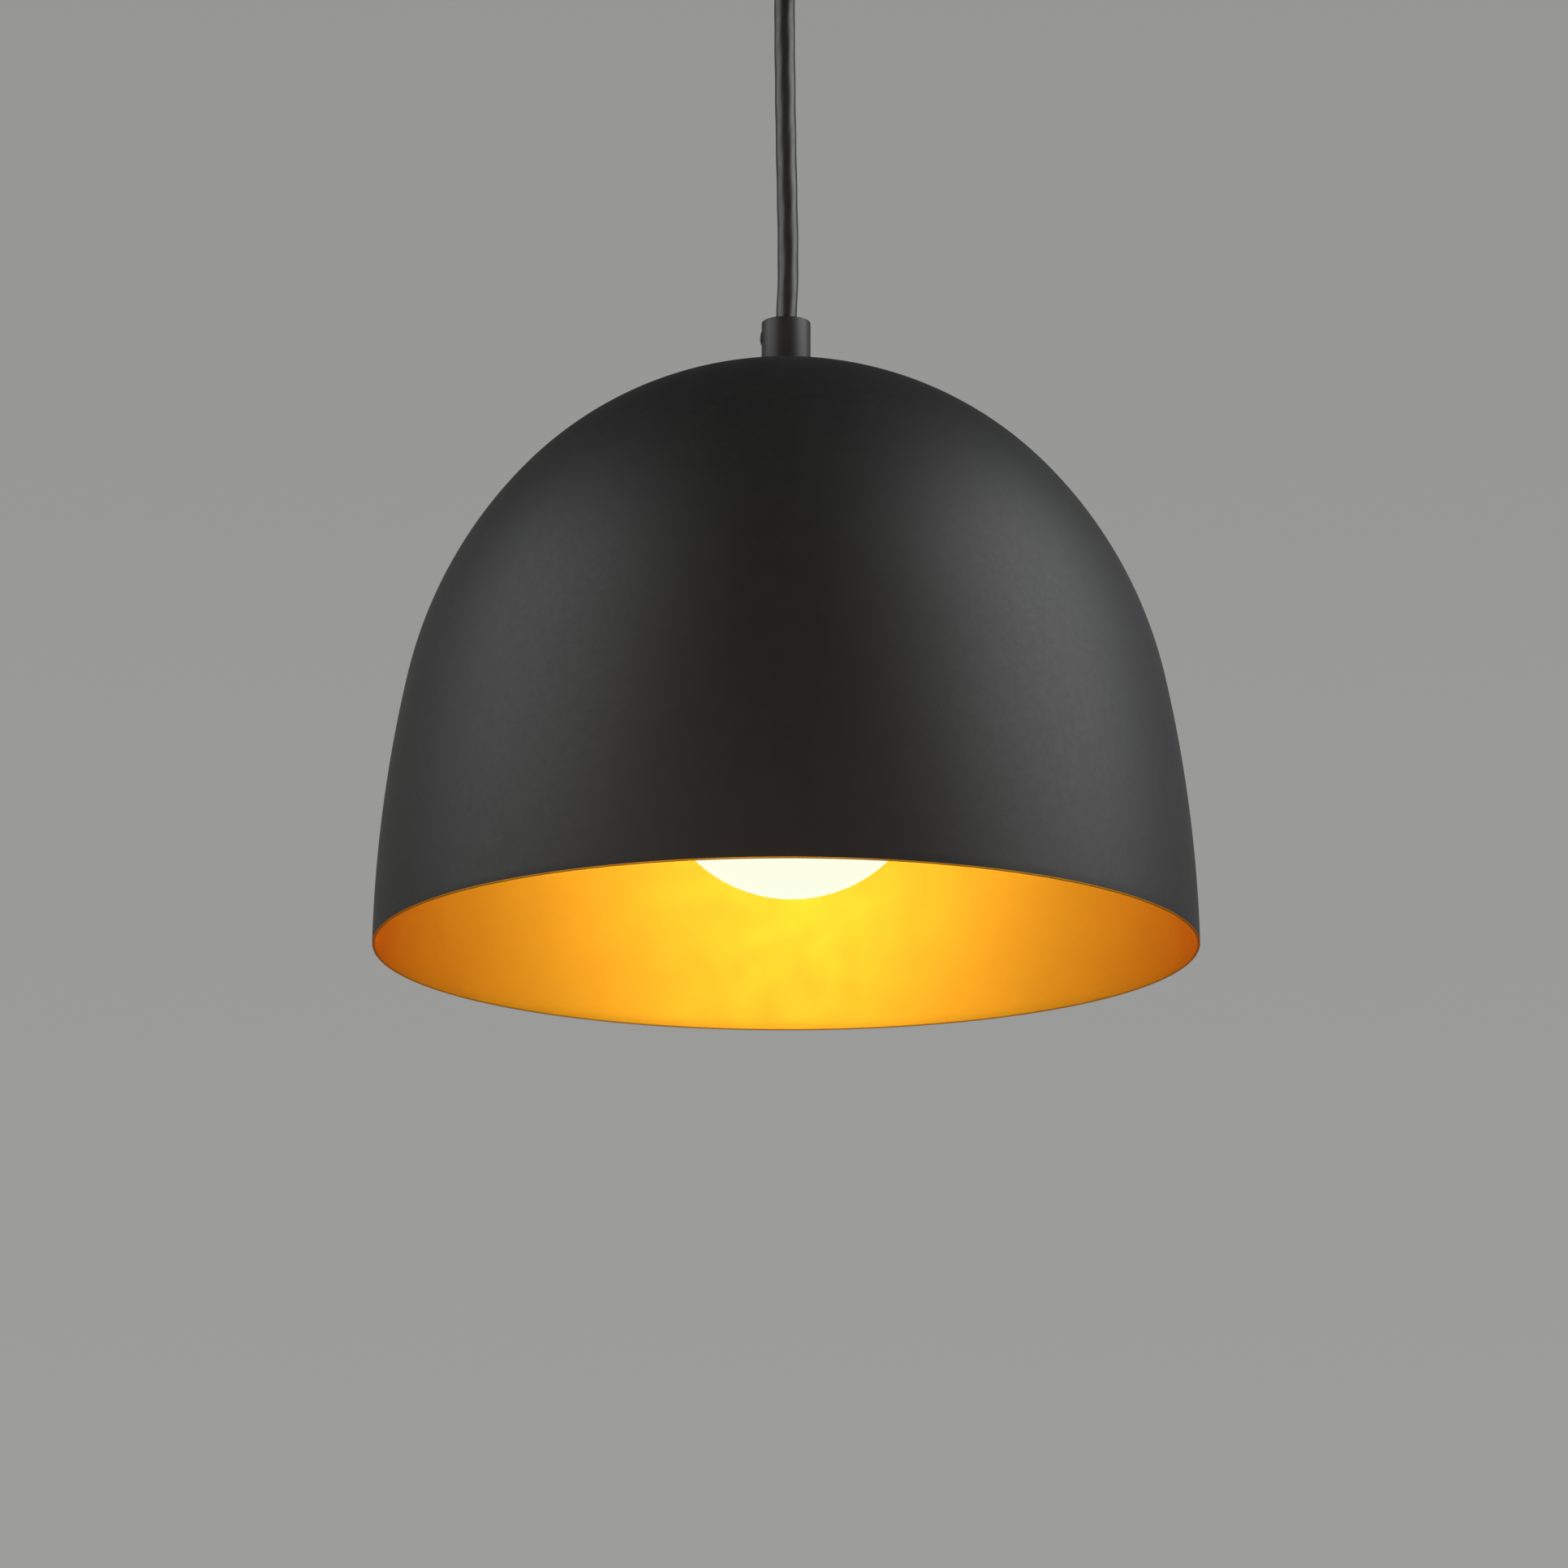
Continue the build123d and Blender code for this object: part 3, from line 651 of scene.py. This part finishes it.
def screw_shell():
    """The lampholder's threaded metal shell."""
    low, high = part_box("screw_shell")
    r, wall, hole, chamfer = high.x, 0.0005, 0.007, 0.0006
    thread = screw_thread(0.0007, low.z + 0.001, high.z - 0.002)
    inside = ladder(r - wall, low.z, high.z - 0.001, THREAD_PITCH / 12)
    outside = ladder(r, low.z, high.z - 0.0004, THREAD_PITCH / 12)
    upper_face = [(r - chamfer, high.z), (hole, high.z)]
    lower_face = [(hole, high.z - wall), (r - wall - chamfer, high.z - wall)]
    outline = outside + upper_face + lower_face + inside[::-1]
    piece("threaded_shell", lathe(outline, 96, closed=True, wobble=thread), "lamp", "brass", BRASS,
          replaces=["screw_shell"], sharp=50)


# Cord grips and canopy -------------------------------------------------------------------


def grip(name, node, body, mouth_up):
    """A turned black cord grip with a countersunk mouth."""
    low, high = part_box(node)
    r, mouth_r, bore_r, nipple_r = high.x, 0.0043, 0.0034, 0.005
    mouth, base, up = (high.z, low.z, 1) if mouth_up else (low.z, high.z, -1)
    step = base + up * 0.008
    outside = [(mouth_r, mouth), (r, mouth), (r, base), (nipple_r, base)]
    upper = rounded(outside[:3], 0.0007, 8)[:-1]
    lower = rounded(outside[1:], 0.0003, 3)[1:]
    inside = [(nipple_r, step), (bore_r, step), (bore_r, mouth - up * 0.0009)]
    shape = lathe(upper + lower + inside, 128, closed=True)
    piece(name, shape, body, "fitting_black", FITTING, replaces=[node])


def grip_screw(name, node, body):
    """The domed, slotted screw that clamps the cord, its slot upright."""
    low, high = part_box(node)
    r = (high.y - low.y) / 2
    length = high.x - low.x
    crown, edge = 0.0004, 0.0002
    sphere = (r**2 + crown**2) / (2 * crown)
    angles = [math.asin(r / sphere) * (1 - i / 8) for i in range(9)]
    dome = [(sphere * math.sin(a), length - sphere * (1 - math.cos(a))) for a in angles]
    outline = [(0, 0), (r, 0)] + rounded([(r, edge)] + dome[:3], edge, 3)[1:] + dome[3:]
    points, faces, numbers = lathe(outline, 48)
    slot_floor = length - 0.0009
    half_slot = 0.0003
    cut = [(x, y, slot_floor if abs(y) <= half_slot and z >= slot_floor else z) for x, y, z in points]
    centre = Matrix.Translation((high.x, 0, (low.z + high.z) / 2))
    turned = centre @ Matrix.Rotation(math.radians(-90), 4, "Y")
    shape = (cut, faces, numbers)
    piece(name, shape, body, "fitting_black", FITTING, replaces=[node], place=turned, sharp=30)


def merged(*placed):
    """One shape from several pairs of a shape and its place."""
    points, faces, numbers = [], [], []
    for (some_points, some_faces, some_numbers), place in placed:
        start = len(points)
        points += [tuple(place @ Vector(p)) for p in some_points]
        faces += [[start + i for i in face] for face in some_faces]
        numbers += some_numbers
    return points, faces, numbers


def threaded_rod(radius, bore, length, pitch, depth):
    """A threaded rod, or a tube where it has a bore, standing on the origin, its ends chamfered."""
    wall = ladder(radius, 0.0, length, pitch / 8)
    chamfer = depth * 1.2

    def wobble(angle, r, z):
        if r < radius - HAIR:
            return r
        return r - max(depth * groove(angle, z, pitch), chamfer - z, z - length + chamfer)

    if bore:
        return lathe(wall + [(bore, length), (bore, 0.0)], 48, closed=True, wobble=wobble)
    return lathe([(0, 0.0)] + wall + [(0, length)], 32, wobble=wobble)


def nipples():
    """The two threaded tubes that join the grips to the canopy and the shade."""
    bore_r, pitch, depth = 0.0035, 0.001, 0.0005
    for name, node, body in (("threaded_ceiling_nipple", "canopy_nipple", "canopy"),
                             ("threaded_shade_nipple", "shade_nipple", "lamp")):
        low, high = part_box(node)
        shape = threaded_rod(high.x, bore_r, high.z - low.z, pitch, depth)
        foot = Matrix.Translation((0, 0, low.z))
        piece(name, shape, body, "zinc", ZINC, replaces=[node], place=foot, sharp=50)


def studs():
    """The two threaded studs that hold the canopy up."""
    low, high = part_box("canopy_studs")
    pitch, depth = 0.000794, 0.0004
    rod = threaded_rod(STUD_R, 0.0, high.z - low.z, pitch, depth)
    shape = merged(*[(rod, Matrix.Translation((x, 0, low.z))) for x in STUD_SIDES])
    piece("threaded_studs", shape, "canopy", "zinc", ZINC, replaces=["canopy_studs"], sharp=50)


def thumb_nuts():
    """The two knurled cap nuts under the canopy."""
    low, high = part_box("canopy_nuts")
    r, tall = (high.y - low.y) / 2, high.z - low.z
    knurls, knurl_depth = 24, 0.00035
    corner, chamfer, bore_depth = 0.0015, 0.0004, 0.006

    def knurled(angle, radius, z):
        if radius < r - 10 * HAIR:
            return radius
        fade = faded(z, 0.0013, 0.0008, tall - 0.0008, 0.0005)
        return radius - knurl_depth * fade * abs(math.cos(knurls * angle / 2)) ** 6

    end = [(0, 0), (0.0012, 0.00002)] + arc((r - corner, corner), corner, -90, 0, 8)
    wall = ladder(r, 0.0016, tall - chamfer, 0.0004)
    mouth = [(r - chamfer, tall), (NUT_BORE_R, tall)]
    bore = [(NUT_BORE_R, tall - bore_depth), (0, tall - bore_depth)]
    nut = lathe(end + wall + mouth + bore, knurls * 12, wobble=knurled)
    shape = merged(*[(nut, Matrix.Translation((x, 0, low.z))) for x in STUD_SIDES])
    piece("knurled_cap_nuts", shape, "canopy", "fitting_black", FITTING,
          replaces=["canopy_nuts"], sharp=35)


def connectors():
    """The two ribbed twist-on connectors in the canopy."""
    low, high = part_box("wire_connectors")
    mouth_r, tip_r, bore_r, bore_depth = (high.z - low.z) / 2, 0.0025, 0.0011, 0.008
    length, taper, straight = 0.0185, 0.0016, 0.004
    ribs, rib_depth = 8, 0.0006

    def ribbed(angle, radius, z):
        fade = faded(z, 0.0012, 0.002, 0.0165, 0.002)
        rib = abs(math.cos(ribs * angle / 2)) ** 1.5
        return radius - rib_depth * fade * rib if radius > tip_r else radius

    mouth = [(bore_r, 0.0006), (0.0018, 0), (mouth_r - 0.0004, 0)]
    heights = [0.0008 + 0.0162 * i / 20 for i in range(21)]
    wall = [(mouth_r, 0.0004)]
    wall += [(mouth_r - taper * max(0.0, z - straight) / 0.013, z) for z in heights]
    tip = rounded([wall[-1], (tip_r, length - 0.0002), (0, length)], 0.0008)
    outline = [(0, bore_depth), (bore_r, bore_depth)] + mouth + wall[:-1] + tip
    cone = lathe(outline, ribs * 12, wobble=ribbed)
    centre = (low.y + high.y) / 2, (low.z + high.z) / 2
    places = []
    for side in (-1, 1):
        turn = Matrix.Rotation(math.radians(side * 90), 4, "Y")
        places.append((cone, Matrix.Translation((side * (high.x - length), *centre)) @ turn))
    shape = merged(*places)
    piece("ribbed_connectors", shape, "canopy", "connector", ORANGE,
          replaces=["wire_connectors"], sharp=50)


def canopy():
    """The round ceiling cover."""
    low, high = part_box("canopy")
    r, floor, corner, sheet = high.x, low.z, CANOPY_CORNER_R, CANOPY_SHEET
    centre = (r - corner, floor + corner)
    outer = [(NIPPLE_HOLE_R, floor)] + arc(centre, corner, -90, 0, 12)
    inner = arc(centre, corner - sheet, 0, -90, 12) + [(NIPPLE_HOLE_R, floor + sheet)]
    lip = arc((r - sheet / 2, -sheet / 2), sheet / 2, 0, 180, 6)
    shape = lathe(outer + lip + inner, 192, closed=True)
    piece("ceiling_canopy", shape, "canopy", "fitting_black", FITTING, replaces=["canopy"])


# Stage -----------------------------------------------------------------------------------


def soft_light(name, place, target, size, power, colour=(1, 1, 1)):
    """A soft box of this width and height pointing at the target, not seen by the camera."""
    data = bpy.data.lights.new(name, "AREA")
    data.shape = "RECTANGLE"
    data.size, data.size_y = size
    data.energy = power
    data.color = colour
    made = bpy.data.objects.new(name, data)
    made.location = place
    made.rotation_euler = (Vector(target) - Vector(place)).to_track_quat("-Z", "Y").to_euler()
    made.visible_camera = False
    bpy.context.scene.collection.objects.link(made)


def glow(globe):
    """The light that the bulb gives, carried by the globe and a little smaller than it."""
    data = bpy.data.lights.new("bulb_glow", "POINT")
    data.shadow_soft_size = 0.96 * GLOBE_R
    data.energy = 0.77
    data.cycles.use_multiple_importance_sampling = False
    data.color = (1.0, 0.92, 0.68)
    made = bpy.data.objects.new("bulb_glow", data)
    made.location = bulb_place().translation
    made.visible_camera = False
    bpy.context.scene.collection.objects.link(made)
    bpy.context.view_layer.update()
    made.parent = globe
    made.matrix_parent_inverse = globe.matrix_world.inverted()


def surroundings():
    """Plain grey all round, darker overhead."""
    world = bpy.data.worlds.new("surroundings")
    world.use_nodes = True
    nodes, links = world.node_tree.nodes, world.node_tree.links
    place = nodes.new("ShaderNodeTexCoord")
    split = nodes.new("ShaderNodeSeparateXYZ")
    tones = ((8, linear(157, 157, 155)), (19, linear(150, 150, 149)), (34, linear(50, 50, 50)))
    ramp = three_tones(nodes, [(math.sin(math.radians(elevation)), tone) for elevation, tone in tones])
    links.new(place.outputs["Generated"], split.inputs["Vector"])
    links.new(split.outputs["Z"], ramp.inputs["Fac"])
    links.new(ramp.outputs["Color"], nodes["Background"].inputs["Color"])
    return world


def pale_floor():
    """A plain floor far below the lamp, wide enough to fill the views from above."""
    height, half = -3.2, 45.0
    corners = [(x * half, y * half, height) for x, y in ((-1, -1), (1, -1), (1, 1), (-1, 1))]
    mesh = bpy.data.meshes.new("floor")
    mesh.from_pydata(corners, [], [(0, 1, 2, 3)])
    pale = surface("pale_floor", (0.62, 0.62, 0.60, 1.0), 0.8, specular=0.2)
    vary_roughness(pale, noise(pale, 3, 2), 0.75, 0.85)
    mesh.materials.append(pale)
    floor = bpy.data.objects.new("floor", mesh)
    bpy.context.scene.collection.objects.link(floor)


def stage():
    """Grey surroundings, the floor, and soft lights on it, at both sides and from the front."""
    scene = bpy.context.scene
    scene.view_settings.view_transform = "Standard"
    scene.world = surroundings()
    pale_floor()
    middle = (0, 0, -0.25)
    soft_light("floor_softbox", (0, 0, -1.4), (0, 0, -3), (60, 60), 5000.0)
    soft_light("left_softbox", (-1.12, -0.26, 0.40), middle, (1.4, 1.1), 17.0, (0.96, 1.0, 0.99))
    soft_light("right_softbox", (1.08, -0.17, 0.40), middle, (1.25, 1.1), 24.0, (0.97, 1.0, 0.99))
    soft_light("warm_bounce", (-0.22, -1.15, -0.62), (0, 0, -0.30), (1.1, 0.3), 7.4, (1.0, 0.60, 0.38))


camera()
cord()
finish_kept_nodes()
shade()
globe = envelope()
glow(globe)
bulb_base()
socket_body()
socket_cap()
screw_shell()
grip("collar_turned", "cord_collar", "lamp", True)
grip("ceiling_grip_turned", "canopy_grip", "canopy", False)
canopy()
grip_screw("collar_screw_domed", "collar_screw", "lamp")
grip_screw("ceiling_grip_screw_domed", "canopy_grip_screw", "canopy")
thumb_nuts()
nipples()
studs()
connectors()
stage()
